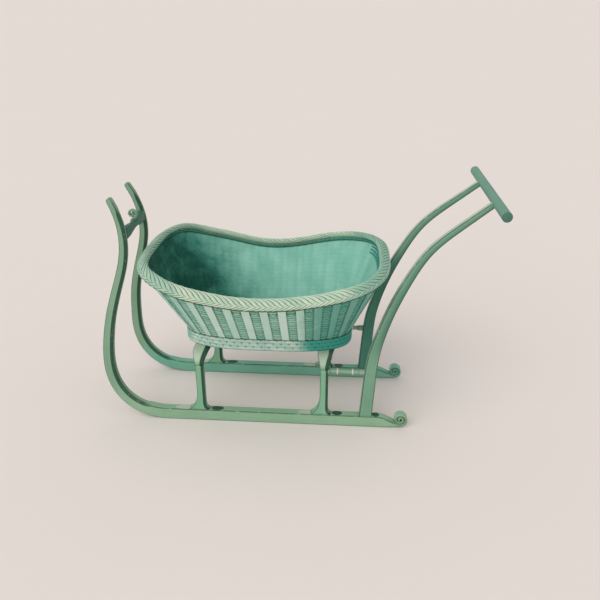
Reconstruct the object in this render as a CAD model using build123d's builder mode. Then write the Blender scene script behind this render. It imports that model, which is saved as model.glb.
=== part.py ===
"""Children's push sled: two bent wooden runners with raised horns, posts and yokes that carry
a boat-shaped wicker basket, and two curved arms that end in a cross grip."""

import os
from math import atan2, copysign, cos, hypot, pi, sin

from build123d import *

os.makedirs("parts", exist_ok=True)

# Driving dimensions, in millimetres. Stations run backwards from the foremost point of the runners.
overall_length = 1397      # foremost point of the runners to the back of the grip
track_width = 350          # centre to centre of the runners on the snow
runner_thick = 34          # runner, post and arm, side to side
runner_depth = 46          # runner on the snow, top to bottom
seat_gap = 0.2             # clearance of a curved seat

horn_height = 852          # tips of the horns
horn_spacing = 200         # centre to centre of the horn tips
horn_tip_thick = 24
lean_start = 285           # height where horns and arms begin to lean inwards
crossbar_height = 0.850 * horn_height  # centre of the bar that ties the horns
crossbar_depth = 40        # its depth at the horns
crossbar_waist = 20        # and at the middle
crossbar_thick = 20

front_post_at = 360        # stations of the posts and the arm foot
rear_post_at = 826
arm_foot_at = 984
post_depth = 30
post_bevel = 9             # its rear edges are bevelled
post_toe = 34              # reach of the flared foot in front of the post, and behind it
post_heel = 14
post_top = 242
rail_height = 232
rail_dia = 17
rail_ring_dia = 23

volute_at = 1116           # the rolled tail of the runner
volute_radius = 27
volute_lift = 5            # underside of the roll above the snow
volute_band = 8.5
volute_gap = 2.2

grip_height = 874          # centre of the grip
grip_length = 590
grip_dia = 33
grip_ease = 4              # bevel round its ends
arm_spacing = 262          # centre to centre of the arms at the grip
arm_tip_thick = 22

basket_bottom = 292        # underside of the basket, on the yokes
foot_height = 46           # the waled foot band
floor_thick = 12
wall_thick = 10
rim_width = 38             # the plaited border, across the top of the wall
rim_thick = 22
rim_ease = 6               # its bevelled corners
slat_count = 37            # flat slats round the outside, with a woven column between each two
slat_thick = 3
slat_inset = 1.5           # each slat is this much narrower than its panel, on either side

yoke_depth = 34            # yoke on the post, front to back
yoke_thick = 26
yoke_ahead = 12            # its top reaches further forwards, and further back, under the basket
yoke_behind = 28

lean_run = 10              # the leaning outline runs on past the tips
front_flare = 82           # height of the flare of a post foot, in front and behind
back_flare = 30
flare_knee = (0.28, 0.64)  # where its two arcs meet: share of the reach, share of the height

rail_rings = (46, 102)     # turned rings, behind the rear post
rail_ring_width = 5

crossbar_at = 108
scroll_radius = 19         # the rolled finial on the crossbar
scroll_band = 6.5
scroll_gap = 1.8
scroll_neck = 10
scroll_width = 18

yoke_shoulder = 46         # outer radius of the yoke's shoulders
foot_out = 6               # the foot band stands proud of the wall
foot_in = 15

oval_power = 3.0           # squareness of the basket's oval
panel_count = 2 * slat_count

grip_at = overall_length - grip_dia / 2
middle = overall_length / 2
wall_base = basket_bottom + foot_height
bowl_height = 350


def at(station):
    return station - middle


# Centre line of the horn and bend: station, share of the horn height, share of the runner depth.
horn_spine = [
    (63, 1.000, 0.42),
    (90, 0.930, 0.53),
    (104, 0.857, 0.60),
    (102, 0.757, 0.66),
    (74, 0.635, 0.70),
    (38, 0.488, 0.75),
    (20, 0.338, 0.81),
    (23, 0.215, 0.86),
    (57, 0.119, 0.92),
    (122, 0.054, 0.97),
]
flat_stations = (212, 262)  # the bend runs out on these stations of the flat sole

# Centre line of the handle arm: share of its reach, share of the grip height, depth.
arm_spine = [
    (0.020, 0.200, 45),
    (0.050, 0.343, 40),
    (0.119, 0.463, 34),
    (0.197, 0.561, 32),
    (0.325, 0.686, 29),
    (0.489, 0.804, 25),
    (0.721, 0.900, 22),
    (1.000, 1.000, 19),
]
arm_foot_depth = 47

# Ovals of the basket wall, at the foot band and where the flare ends: height over the foot band,
# front station, rear station, half width.
low_oval = (0, 292, 919, 144)
high_oval = (323, 146, 1059, 397)
# Height of the border's centre line over the foot band along the sled, by station.
border_line = [(120, 292), (200, 290), (300, 263), (420, 235), (550, 213), (700, 219), (850, 246),
               (980, 268), (1100, 298)]


def save(part, name):
    part.label = name
    export_step(part, f"parts/{name}.step")


def bar_sides(spine, first, last):
    """Both outlines of a tapering bar from centre points (x, z, depth) and its end directions."""
    left, right = [], []
    count = len(spine)
    for i, (x, z, depth) in enumerate(spine):
        x0, z0, _ = spine[max(i - 1, 0)]
        x1, z1, _ = spine[min(i + 1, count - 1)]
        dx, dz = x1 - x0, z1 - z0
        if i == 0:
            dx, dz = first
        if i == count - 1:
            dx, dz = last
        half = depth / 2 / hypot(dx, dz)
        left.append((x - dz * half, z + dx * half))
        right.append((x + dz * half, z - dx * half))
    return left, right


def leaning_band(side, low, high, top, low_thick, top_thick):
    """Front view of a bar that stands upright to lean_start and then leans inwards to its top."""
    with BuildSketch(Plane.YZ) as band:
        with BuildLine():
            out_line = FilletPolyline(
                (side * (low + low_thick) / 2, 0),
                (side * (low + low_thick) / 2, lean_start),
                (side * (high + top_thick) / 2, top),
                radius=500,
            )
            in_line = FilletPolyline(
                (side * (low - low_thick) / 2, 0),
                (side * (low - low_thick) / 2, lean_start),
                (side * (high - top_thick) / 2, top),
                radius=500,
            )
            Line(out_line @ 0, in_line @ 0)
            Line(out_line @ 1, in_line @ 1)
        make_face()
    return band.sketch


def scroll(centre_x, centre_z, radius, band, gap, turns):
    """A rolled band: half circles of shrinking radius, begun at the bottom and running backwards."""
    step = (band + gap) / 2
    with BuildSketch(Plane.XZ) as roll:
        with BuildLine():
            z = centre_z
            size = radius
            ends = []
            for k in range(turns):
                start = -90 if k % 2 == 0 else 90
                outer = CenterArc((centre_x, z), size, start, 180)
                inner = CenterArc((centre_x, z), size - band, start, 180)
                if k == 0:
                    Line(outer @ 0, inner @ 0)
                ends = [outer @ 1, inner @ 1]
                z += step if k % 2 == 0 else -step
                size -= step
            Line(ends[0], ends[1])
        make_face()
    return roll.sketch


def runner_profile():
    """Side view of a runner: horn, bend, sole and rolled tail."""
    spine = [(at(x), share * horn_height, depth * runner_depth) for x, share, depth in horn_spine]
    spine += [(at(x), runner_depth / 2, runner_depth) for x in flat_stations]
    inside, outside = bar_sides(spine, (0.4, -1), (1, 0))
    tail = at(volute_at)
    roll_z = volute_lift + volute_radius
    tail_start = at(arm_foot_at) + arm_foot_depth
    with BuildSketch(Plane.XZ) as profile:
        with BuildLine():
            front = Spline(*outside)
            Line(inside[0], outside[0])
            sole = Line(front @ 1, (tail_start, 0))
            Spline(sole @ 1, (tail, volute_lift), tangents=[(1, 0), (1, 0)])
            Line((tail, volute_lift), (tail, volute_lift + volute_band))
            Spline((tail, volute_lift + volute_band), (tail_start, runner_depth),
                   tangents=[(-1, 0.05), (-1, 0.25)])
            Line((tail_start, runner_depth), inside[-1])
            Spline(*inside[::-1])
        make_face()
        add(scroll(tail, roll_z, volute_radius, volute_band, volute_gap, 4))
        fillet(profile.vertices().group_by(Axis.Y)[-1], 8)
    return profile.sketch


def arm_profile():
    """Side view of a handle arm, from the top of the runner to the middle of the grip."""
    run = grip_at - arm_foot_at
    spine = [(at(arm_foot_at), runner_depth, arm_foot_depth)]
    for share, rise, depth in arm_spine:
        spine.append((at(arm_foot_at + share * run), rise * grip_height, depth))
    front, back = bar_sides(spine, (0, 1), (0.8, 0.62))
    with BuildSketch(Plane.XZ) as profile:
        with BuildLine():
            Spline(*front)
            Line(front[-1], back[-1])
            Spline(*back)
            Line(front[0], back[0])
        make_face()
    return profile.sketch


def flare(corner, run, drop):
    """Two arcs that curve a post's edge out from a corner, more and more, onto the runner."""
    knee = (corner[0] + flare_knee[0] * run, corner[1] - flare_knee[1] * drop)
    upper = TangentArc(corner, knee, tangent=(0, -1))
    TangentArc(knee, (corner[0] + run, corner[1] - drop), tangent=upper % 1)


def post_profile(station):
    """Side view of a post whose foot flares onto the runner, more in front than behind."""
    ahead, behind = at(station) - post_depth / 2, at(station) + post_depth / 2
    with BuildSketch(Plane.XZ) as profile:
        with BuildLine():
            Polyline((ahead, runner_depth + front_flare), (ahead, post_top), (behind, post_top),
                     (behind, runner_depth + back_flare))
            flare((ahead, runner_depth + front_flare), -post_toe, front_flare)
            flare((behind, runner_depth + back_flare), post_heel, back_flare)
            Line((ahead - post_toe, runner_depth), (behind + post_heel, runner_depth))
        make_face()
    return profile.sketch


def yoke_profile(station):
    """Side view of a yoke, a capital that widens from the post up to the basket."""
    ahead, behind = at(station) - yoke_depth / 2, at(station) + yoke_depth / 2
    with BuildSketch(Plane.XZ) as profile:
        with BuildLine():
            Line((ahead, post_top), (behind, post_top))
            TangentArc((ahead, post_top), (ahead - yoke_ahead, basket_bottom), tangent=(0, 1))
            TangentArc((behind, post_top), (behind + yoke_behind, basket_bottom), tangent=(0, 1))
            Line((ahead - yoke_ahead, basket_bottom), (behind + yoke_behind, basket_bottom))
        make_face()
    return profile.sketch


def grip_turning(extra):
    """The turned grip, a round bar with bevelled ends."""
    with BuildPart() as bar:
        with BuildSketch(Plane.XZ):
            with Locations((at(grip_at), grip_height)):
                Circle(grip_dia / 2 + extra)
        extrude(amount=grip_length / 2, both=True)
        chamfer(bar.edges().filter_by(GeomType.CIRCLE), grip_ease)
    return bar.part


def horn_gap(height):
    """Half the clear width between the leaning horns at a height."""
    low, high = (track_width - runner_thick) / 2, (horn_spacing - horn_tip_thick) / 2
    return low + (high - low) * (height - lean_start) / (horn_height + lean_run - lean_start)


def side_plane(side):
    return Plane.XZ.offset(-side * track_width / 2)


def panel_headings():
    """Directions that the panels of the wall face, evenly spaced round the oval at mid height."""
    length = (high_oval[2] - high_oval[1] + low_oval[2] - low_oval[1]) / 4
    width = (high_oval[3] + low_oval[3]) / 2
    fine = 40 * panel_count
    points = []
    for i in range(fine + 1):
        c, s = cos(2 * pi * i / fine), sin(2 * pi * i / fine)
        r = (abs(c) ** oval_power + abs(s) ** oval_power) ** (-1 / oval_power)
        points.append((length * r * c, width * r * s))
    runs = [0.0]
    for (x0, y0), (x1, y1) in zip(points, points[1:]):
        runs.append(runs[-1] + hypot(x1 - x0, y1 - y0))
    headings, i = [], 0
    for k in range(panel_count):
        while runs[i] < runs[-1] * k / panel_count:
            i += 1
        x, y = points[i]
        across = copysign(abs(y / width) ** (oval_power - 1) / width, y)
        along = copysign(abs(x / length) ** (oval_power - 1) / length, x)
        headings.append(atan2(across, along))
    return headings


def reach(oval, k, grow=0):
    """Distance from the frame's centre to the panel that faces heading k, on one of the ovals."""
    _, front, rear, half = oval
    c, s = cos(headings[k]), sin(headings[k])
    power = oval_power / (oval_power - 1)
    round_reach = (abs((rear - front) / 2 * c) ** power + abs(half * s) ** power) ** (1 / power)
    return at((front + rear) / 2) * c + round_reach + grow


def corner(oval, k, grow=0):
    """Where panel k and the next one meet, on one of the ovals."""
    p, q = headings[k], headings[(k + 1) % panel_count]
    near, far = reach(oval, k, grow), reach(oval, (k + 1) % panel_count, grow)
    turn = sin(q - p)
    return (near * sin(q) - far * sin(p)) / turn, (far * cos(p) - near * cos(q)) / turn


def panel(k):
    """Plane of one flat panel of the wall, facing outwards, with x along it and y up its slope."""
    out = Vector(cos(headings[k]), sin(headings[k]), 0)
    low = out * reach(low_oval, k) + Vector(0, 0, wall_base)
    high = out * reach(high_oval, k) + Vector(0, 0, wall_base + high_oval[0])
    along = Vector(0, 0, 1).cross(out)
    return Plane(origin=low, x_dir=along, z_dir=along.cross(high - low))


def bowl(grow):
    """The flared basket as a solid, a block cut down to flat panels that stand out by an amount."""
    with BuildPart() as body:
        with BuildSketch(Plane.XY.offset(wall_base)):
            Rectangle(1.5 * overall_length, overall_length)
        extrude(amount=bowl_height)
        for k in range(panel_count):
            split(bisect_by=panel(k).offset(grow), keep=Keep.BOTTOM)
    return body.part


def oval_plan(grow):
    """Plan of the basket at the foot band."""
    with BuildSketch(Plane.XY.offset(basket_bottom)) as plan:
        with BuildLine():
            Polyline(*[corner(low_oval, k, grow) for k in range(panel_count)], close=True)
        make_face()
    return plan.sketch


def below_border():
    """Side view of everything under the border's centre line."""
    with BuildSketch(Plane.XZ) as band:
        with BuildLine():
            upper = Polyline(*rim_line)
            Polyline(upper @ 0, (rim_line[0][0], wall_base), (rim_line[-1][0], wall_base), upper @ 1)
        make_face()
    return band.sketch


def border_place(k):
    """Where the border's centre line crosses the middle of panel k, and its directions out and up."""
    ends = []
    for oval in (low_oval, high_oval):
        near, far = Vector(*corner(oval, k - 1)), Vector(*corner(oval, k))
        ends.append((near + far) / 2 + Vector(0, 0, wall_base + oval[0]))
    rise = ends[1] - ends[0]
    share = 0.8
    for _ in range(8):
        x = (ends[0] + rise * share).X
        i = max(i for i, (start, _) in enumerate(rim_line[:-1]) if start <= x)
        (x0, z0), (x1, z1) = rim_line[i], rim_line[i + 1]
        share = (z0 + (z1 - z0) * (x - x0) / (x1 - x0) - wall_base) / high_oval[0]
    out = panel(k).z_dir
    return ends[0] + rise * share - out * wall_thick / 2, out, rise.normalized()


def border_solid():
    """The border as one closed ring: a bevelled bar laid across the wall's edge from panel to panel."""
    half, thick = rim_width / 2, rim_thick / 2
    shape = [(half, thick - rim_ease), (half - rim_ease, thick)]
    shape += [(-a, b) for a, b in shape[::-1]]
    shape += [(-a, -b) for a, b in shape]
    rings = []
    for k in range(panel_count):
        centre, out, up = border_place(k)
        rings.append([centre + out * a + up * b for a, b in shape])
    faces = []
    for near, far in zip(rings, rings[1:] + rings[:1]):
        for i in range(len(shape)):
            k = (i + 1) % len(shape)
            faces.append(Face(Wire.make_polygon([near[i], near[k], far[k]])))
            faces.append(Face(Wire.make_polygon([near[i], far[k], far[i]])))
    return Solid(Shell(faces))


with BuildLine(Plane.XY) as rim_curve:
    Spline(*[(at(x), wall_base + h) for x, h in border_line])
rim_line = [tuple(rim_curve.line @ (i / 120))[:2] for i in range(121)]
headings = panel_headings()
runner_side = runner_profile()
arm_side = arm_profile()
grip_cutter = grip_turning(seat_gap)

for side, name in ((-1, "left"), (1, "right")):
    y = side * track_width / 2

    with BuildPart() as runner:
        extrude(runner_side, amount=track_width, both=True)
        lean = leaning_band(side, track_width, horn_spacing, horn_height + lean_run, runner_thick,
                            horn_tip_thick)
        extrude(lean, amount=overall_length, both=True, mode=Mode.INTERSECT)
    save(runner.part, f"runner_{name}")

    for place, station in (("front", front_post_at), ("rear", rear_post_at)):
        with BuildPart() as post:
            with BuildSketch(side_plane(side)):
                add(post_profile(station))
            extrude(amount=runner_thick / 2, both=True)
            chamfer(post.faces().filter_by(Plane.YZ).sort_by(Axis.X)[-1].edges().filter_by(Axis.Z),
                    post_bevel)
        save(post.part, f"{place}_post_{name}")

    with BuildPart() as arm:
        extrude(arm_side, amount=track_width, both=True)
        lean = leaning_band(side, track_width, arm_spacing, grip_height + lean_run, runner_thick,
                            arm_tip_thick)
        extrude(lean, amount=overall_length, both=True, mode=Mode.INTERSECT)
        add(grip_cutter, mode=Mode.SUBTRACT)
    save(arm.part, f"handle_arm_{name}")

    rail_start = at(rear_post_at) + post_depth / 2
    rail_end = at(arm_foot_at)
    with BuildPart() as rail:
        with BuildSketch(Plane.YZ.offset(rail_start)):
            with Locations((y, rail_height)):
                Circle(rail_dia / 2)
        extrude(amount=rail_end - rail_start)
        for ring in rail_rings:
            with BuildSketch(Plane.YZ.offset(at(rear_post_at + ring))):
                with Locations((y, rail_height)):
                    Circle(rail_ring_dia / 2)
            extrude(amount=rail_ring_width)
        add(arm.part, mode=Mode.SUBTRACT)
    save(rail.part, f"side_rail_{name}")

with BuildPart() as grip:
    add(grip_turning(0))
save(grip.part, "push_grip")

for place, station in (("front", front_post_at), ("rear", rear_post_at)):
    half = (track_width + runner_thick) / 2
    inner = half - runner_thick
    with BuildPart() as yoke:
        with BuildSketch(Plane.YZ):
            with BuildLine():
                FilletPolyline((-half, post_top), (-half, basket_bottom), (half, basket_bottom),
                               (half, post_top), radius=yoke_shoulder)
                FilletPolyline((-inner, post_top), (-inner, basket_bottom - yoke_thick),
                               (inner, basket_bottom - yoke_thick), (inner, post_top),
                               radius=yoke_shoulder - yoke_thick)
                Line((-half, post_top), (-inner, post_top))
                Line((half, post_top), (inner, post_top))
            make_face()
        extrude(amount=overall_length, both=True)
        extrude(yoke_profile(station), amount=track_width, both=True, mode=Mode.INTERSECT)
    save(yoke.part, f"{place}_yoke")

bar_top, bar_low = crossbar_height + crossbar_depth / 2, crossbar_height - crossbar_depth / 2
waist_top, waist_low = crossbar_height + crossbar_waist / 2, crossbar_height - crossbar_waist / 2
with BuildPart() as crossbar:
    with BuildSketch(Plane.YZ.offset(at(crossbar_at))):
        with BuildLine():
            ThreePointArc((-horn_gap(bar_top), bar_top), (0, waist_top), (horn_gap(bar_top), bar_top))
            ThreePointArc((-horn_gap(bar_low), bar_low), (0, waist_low), (horn_gap(bar_low), bar_low))
            Line((-horn_gap(bar_top), bar_top), (-horn_gap(bar_low), bar_low))
            Line((horn_gap(bar_top), bar_top), (horn_gap(bar_low), bar_low))
        make_face()
    extrude(amount=crossbar_thick / 2, both=True)
save(crossbar.part, "horn_crossbar")

roll_z = waist_top + scroll_neck + scroll_radius
roll_low = roll_z - scroll_radius
with BuildPart() as finial:
    with BuildSketch(Plane.XZ):
        add(scroll(at(crossbar_at), roll_z, scroll_radius, scroll_band, scroll_gap, 3))
        with BuildLine():
            foot_left = (at(crossbar_at) - crossbar_thick / 2 + 1, waist_top)
            foot_right = (at(crossbar_at) + 2, waist_top)
            start = (at(crossbar_at), roll_low)
            TangentArc(start, foot_left, tangent=(-1, 0))
            Line(start, (start[0], roll_low + scroll_band))
            Line((start[0], roll_low + scroll_band), (foot_right[0], roll_low + scroll_band))
            Line((foot_right[0], roll_low + scroll_band), foot_right)
            Line(foot_left, foot_right)
        make_face()
    extrude(amount=scroll_width / 2, both=True)
    add(crossbar.part, mode=Mode.SUBTRACT)
save(finial.part, "crossbar_scroll")

with BuildPart() as foot:
    extrude(oval_plan(foot_out), amount=foot_height)
    extrude(oval_plan(-foot_in), amount=foot_height, mode=Mode.SUBTRACT)
save(foot.part, "basket_foot")

with BuildPart() as floor:
    extrude(oval_plan(-foot_in - seat_gap), amount=floor_thick)
save(floor.part, "basket_floor")

with BuildPart() as border:
    add(border_solid())
save(border.part, "basket_border")

with BuildPart() as wall:
    add(bowl(0))
    add(bowl(-wall_thick), mode=Mode.SUBTRACT)
    extrude(below_border(), amount=track_width * 2, both=True, mode=Mode.INTERSECT)
    add(border.part, mode=Mode.SUBTRACT)
save(wall.part, "basket_wall")

# Flat slats: one on every second panel of the wall, from the foot band up to the border.
with BuildPart() as slats:
    for k in range(0, panel_count, 2):
        face = panel(k)
        edges = []
        for oval in (low_oval, high_oval):
            for j in (k - 1, k):
                edges.append(face.to_local_coords(Vector(*corner(oval, j), wall_base + oval[0])))
        low_left, low_right, high_left, high_right = edges
        with BuildSketch(face):
            with BuildLine():
                Polyline((low_left.X + slat_inset, 0), (low_right.X - slat_inset, 0),
                         (high_right.X - slat_inset, high_right.Y),
                         (high_left.X + slat_inset, high_left.Y), close=True)
            make_face()
        extrude(amount=slat_thick)
    extrude(below_border(), amount=track_width * 2, both=True, mode=Mode.INTERSECT)
    add(border.part, mode=Mode.SUBTRACT)
save(slats.part, "basket_stakes")
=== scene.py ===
import math

import bpy
import numpy as np
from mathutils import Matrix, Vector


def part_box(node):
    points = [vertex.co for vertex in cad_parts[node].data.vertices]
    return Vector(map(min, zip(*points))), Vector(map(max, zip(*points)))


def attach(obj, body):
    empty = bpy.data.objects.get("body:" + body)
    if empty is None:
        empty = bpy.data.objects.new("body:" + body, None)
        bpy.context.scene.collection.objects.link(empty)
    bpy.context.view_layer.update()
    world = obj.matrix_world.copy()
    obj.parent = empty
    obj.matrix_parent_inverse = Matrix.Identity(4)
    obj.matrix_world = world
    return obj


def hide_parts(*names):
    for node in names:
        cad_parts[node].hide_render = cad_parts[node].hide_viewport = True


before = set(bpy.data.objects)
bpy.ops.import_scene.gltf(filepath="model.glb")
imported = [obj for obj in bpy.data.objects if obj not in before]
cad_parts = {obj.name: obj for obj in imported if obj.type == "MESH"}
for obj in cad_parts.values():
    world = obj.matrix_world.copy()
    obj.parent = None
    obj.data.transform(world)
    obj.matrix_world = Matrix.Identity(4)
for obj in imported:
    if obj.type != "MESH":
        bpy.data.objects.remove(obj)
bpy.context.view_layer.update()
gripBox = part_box("push_grip")
gripMiddle = ((gripBox[0].x + gripBox[1].x) / 2, (gripBox[0].z + gripBox[1].z) / 2)
sledEnd = gripBox[1].x  # the back of the grip, as far behind the middle as the front is ahead
print("frame loaded")


def at(station):
    # stations run backwards from the front of the sled
    return station - sledEnd


def naturalCubic(knots, values, places):
    # natural cubic through (knots, values): second slopes solve the three-term system, then each
    # place takes the cubic between its two knots
    knots, values = np.asarray(knots, float), np.asarray(values, float)
    gap, rise = np.diff(knots), np.diff(values)
    count = len(knots)
    system, right = np.eye(count), np.zeros(count)
    inner = np.arange(1, count - 1)
    system[inner, inner - 1] = gap[:-1]
    system[inner, inner] = 2 * (gap[:-1] + gap[1:])
    system[inner, inner + 1] = gap[1:]
    right[inner] = 6 * (rise[1:] / gap[1:] - rise[:-1] / gap[:-1])
    bend = np.linalg.solve(system, right)
    i = np.clip(np.searchsorted(knots, places) - 1, 0, count - 2)
    h, t = gap[i], places - knots[i]
    slope = rise[i] / h - h * (2 * bend[i] + bend[i + 1]) / 6
    return values[i] + t * (slope + t * (bend[i] / 2 + t * (bend[i + 1] - bend[i]) / (6 * h)))


def throughPoints(points, count):
    # a smooth line through the points, each coordinate a natural cubic of the chord length
    points = np.asarray(points, float)
    steps = np.hypot(np.diff(points[:, 0]), np.diff(points[:, 1]))
    knots = np.concatenate(([0], np.cumsum(steps)))
    places = np.linspace(0, knots[-1], count)
    return np.stack([naturalCubic(knots, column, places) for column in points.T], -1)


def smoothStep(low, high, value):
    t = np.clip((value - low) / (high - low), 0, 1)
    return t * t * (3 - 2 * t)


def roundTurn(count):
    # angles evenly spaced round a whole turn
    return np.linspace(0, 2 * math.pi, count, endpoint=False)


def halfRound(phase):
    # the height of a half circle over its width, for a share of the width
    return np.sqrt(np.clip(1 - (2 * phase - 1) ** 2, 0, 1))


def scatter(*numbers):
    # a fixed pseudo-random share for whole numbers: the fraction of a large sine
    total = sum(np.asarray(n) * k for n, k in zip(numbers, (12.9898, 78.233, 37.719)))
    return np.modf(np.abs(np.sin(total + 4.1) * 43758.5453))[0]


def surface(name, points, wrapRows=False, wrapColumns=False, caps=False, **values):
    # points[part, row, column]: neighbours are joined by quads, rows or columns may close on
    # themselves, and caps closes each part's first and last row with a fan round its middle. Values
    # are numbers or vectors for each point, or numbers for whole rows, columns or parts
    points = np.asarray(points, float)
    if points.ndim == 3:
        points = points[None]
    parts, rows, columns = points.shape[:3]
    index = np.arange(parts * rows * columns).reshape(parts, rows, columns)
    nextRow, nextColumn = np.roll(index, -1, 1), np.roll(index, -1, 2)
    quads = np.stack((index, nextColumn, np.roll(nextRow, -1, 2), nextRow), -1)
    quads = quads[:, :rows if wrapRows else rows - 1, :columns if wrapColumns else columns - 1]
    quads = quads.reshape(-1, 4)
    fans = np.zeros((0, 3), int)
    places = points.reshape(-1, 3)
    if caps:
        ends = points[:, (0, -1)]
        middles = index.size + np.arange(parts * 2).reshape(parts, 2)
        places = np.concatenate((places, ends.mean(2).reshape(-1, 3)))
        first, last = index[:, 0], index[:, -1]
        lowFan = np.stack((middles[:, :1] + 0 * first, np.roll(first, -1, 1), first), -1)
        highFan = np.stack((middles[:, 1:] + 0 * last, last, np.roll(last, -1, 1)), -1)
        fans = np.concatenate((lowFan.reshape(-1, 3), highFan.reshape(-1, 3)))
    # the signed volume says whether the faces look outwards
    triangles = np.concatenate((quads[:, (0, 1, 2)], quads[:, (0, 2, 3)], fans))
    one, two, three = places[triangles].swapaxes(0, 1)
    if np.einsum("ij,ij->", one, np.cross(two, three)) < 0:
        quads, fans = quads[:, ::-1], fans[:, ::-1]
    mesh = bpy.data.meshes.new(name)
    mesh.from_pydata(places.tolist(), [], quads.tolist() + fans.tolist())
    mesh.polygons.foreach_set("use_smooth", np.ones(len(mesh.polygons), bool))
    for label, value in values.items():
        value = np.asarray(value, float)
        isVector = value.ndim > 2 and value.shape[-1] == 3
        value = np.broadcast_to(value, points.shape if isVector else points.shape[:3])
        flat = value.reshape(index.size, -1)
        if caps:
            flat = np.concatenate((flat, value[:, (0, -1)].mean(2).reshape(parts * 2, -1)))
        kind, field = ("FLOAT_VECTOR", "vector") if isVector else ("FLOAT", "value")
        mesh.attributes.new(label, kind, "POINT").data.foreach_set(field, flat.ravel())
    mesh.update()
    return mesh


def addPiece(mesh, finish, slot, *nodes):
    piece = bpy.data.objects.new(mesh.name, mesh)
    bpy.context.scene.collection.objects.link(piece)
    mesh.materials.append(finish)
    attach(piece, "root")
    if nodes:
        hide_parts(*nodes)
    return piece


class Wire:
    # a socket whose operators add Math nodes
    def __init__(self, finish, socket):
        self.finish, self.socket = finish, socket

    def math(self, operation, *others, clamp=False):
        inputs = dict(enumerate((self, *others)))
        return self.finish.node("ShaderNodeMath", {"operation": operation, "use_clamp": clamp}, inputs)

    def __add__(self, other):
        return self.math("ADD", other)

    def __sub__(self, other):
        return self.math("SUBTRACT", other)

    def __rsub__(self, other):
        return self.finish.node("ShaderNodeMath", {"operation": "SUBTRACT"}, {0: other, 1: self})

    def __mul__(self, other):
        return self.math("MULTIPLY", other)

    def __truediv__(self, other):
        return self.math("DIVIDE", other)

    __radd__ = __add__
    __rmul__ = __mul__

    def clamped(self):
        return self.math("ADD", 0, clamp=True)

    def above(self, low, high):
        # 0 below low, 1 above high, smooth between
        settings = {"interpolation_type": "SMOOTHSTEP"}
        return self.finish.node("ShaderNodeMapRange", settings, {0: self, 1: low, 2: high, 3: 0.0, 4: 1.0})


class Finish:
    # one material or world: node() adds any node, and principled() a material's shader
    def __init__(self, name, kind="materials"):
        self.owner = getattr(bpy.data, kind).new(name)
        self.owner.use_nodes = True
        self.tree = self.owner.node_tree
        self.tree.nodes.clear()

    def node(self, kind, settings, inputs, output=0):
        made = self.tree.nodes.new(kind)
        for key, value in settings.items():
            setattr(made, key, value)
        for key, value in inputs.items():
            if isinstance(value, Wire):
                self.tree.links.new(value.socket, made.inputs[key])
            else:
                made.inputs[key].default_value = value
        return Wire(self, made.outputs[output]) if made.outputs else made

    def value(self, name):
        return self.node("ShaderNodeAttribute", {"attribute_name": name}, {}, "Fac")

    def vector(self, name):
        return self.node("ShaderNodeAttribute", {"attribute_name": name}, {}, "Vector")

    def place(self):
        return self.node("ShaderNodeTexCoord", {}, {}, "Object")

    def stretched(self, vector, scale):
        return self.node("ShaderNodeVectorMath", {"operation": "MULTIPLY"}, {0: vector, 1: scale})

    def part(self, vector, axis):
        return self.node("ShaderNodeSeparateXYZ", {}, {0: vector}, axis)

    def noise(self, vector, scale, detail=3.0, roughness=0.55):
        inputs = {"Vector": vector, "Scale": scale, "Detail": detail, "Roughness": roughness}
        return self.node("ShaderNodeTexNoise", {}, inputs, "Fac")

    def mix(self, share, first, second):
        settings = {"data_type": "RGBA", "clamp_factor": True}
        return self.node("ShaderNodeMix", settings, {0: share, 6: first, 7: second}, 2)

    def bump(self, height, strength, distance):
        inputs = {"Height": height, "Strength": strength, "Distance": distance}
        return self.node("ShaderNodeBump", {}, inputs)

    def principled(self, colour, roughness, normal, **constants):
        inputs = {"Base Color": colour, "Roughness": roughness, "Normal": normal}
        inputs.update({key.replace("_", " "): value for key, value in constants.items()})
        shader = self.node("ShaderNodeBsdfPrincipled", {}, inputs)
        self.node("ShaderNodeOutputMaterial", {}, {"Surface": shader})
        return self.owner


def paint(red, green, blue):
    # a colour as it is seen on a chart, in the renderer's linear values
    linear = [c / 255 / 12.92 if c <= 10 else ((c / 255 + 0.055) / 1.055) ** 2.4 for c in (red, green, blue)]
    return (*linear, 1.0)


woodLook = {
    "wornEdge": paint(44, 78, 58),
    "bareWood": paint(128, 122, 90),
    # painted shadow for the hollows behind the feet
    "paintedShadow": paint(34, 76, 58),
    # painted shade for bevels, undersides and end faces
    "cut": paint(56, 100, 82),
    # a pale painted highlight
    "rubbed": paint(174, 188, 166),
    "brushStretch": (5.0, 150.0, 150.0),
    "grainStretch": (9.0, 420.0, 420.0),
    "specular": 0.32,
}


def ovalSpots(made, spots):
    # 1 in long ovals on the runners' top, for painted highlights and painted shadows, each given by its
    # front station and its length
    place = made.place()
    across = (made.part(place, 1).math("ABSOLUTE") - bars["trackWidth"] / 2) / runner["spotHalfWidth"]
    onTop = made.part(place, 2).above(runner["depth"] - 0.003, runner["depth"] - 0.001)
    total = 0.0
    for station, length in spots:
        along = (made.part(place, 0) - at(station + length / 2)) / (length / 2)
        total = (1.0 - along * along - across * across).above(0.0, 0.25) + total
    return total * onTop


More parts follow.
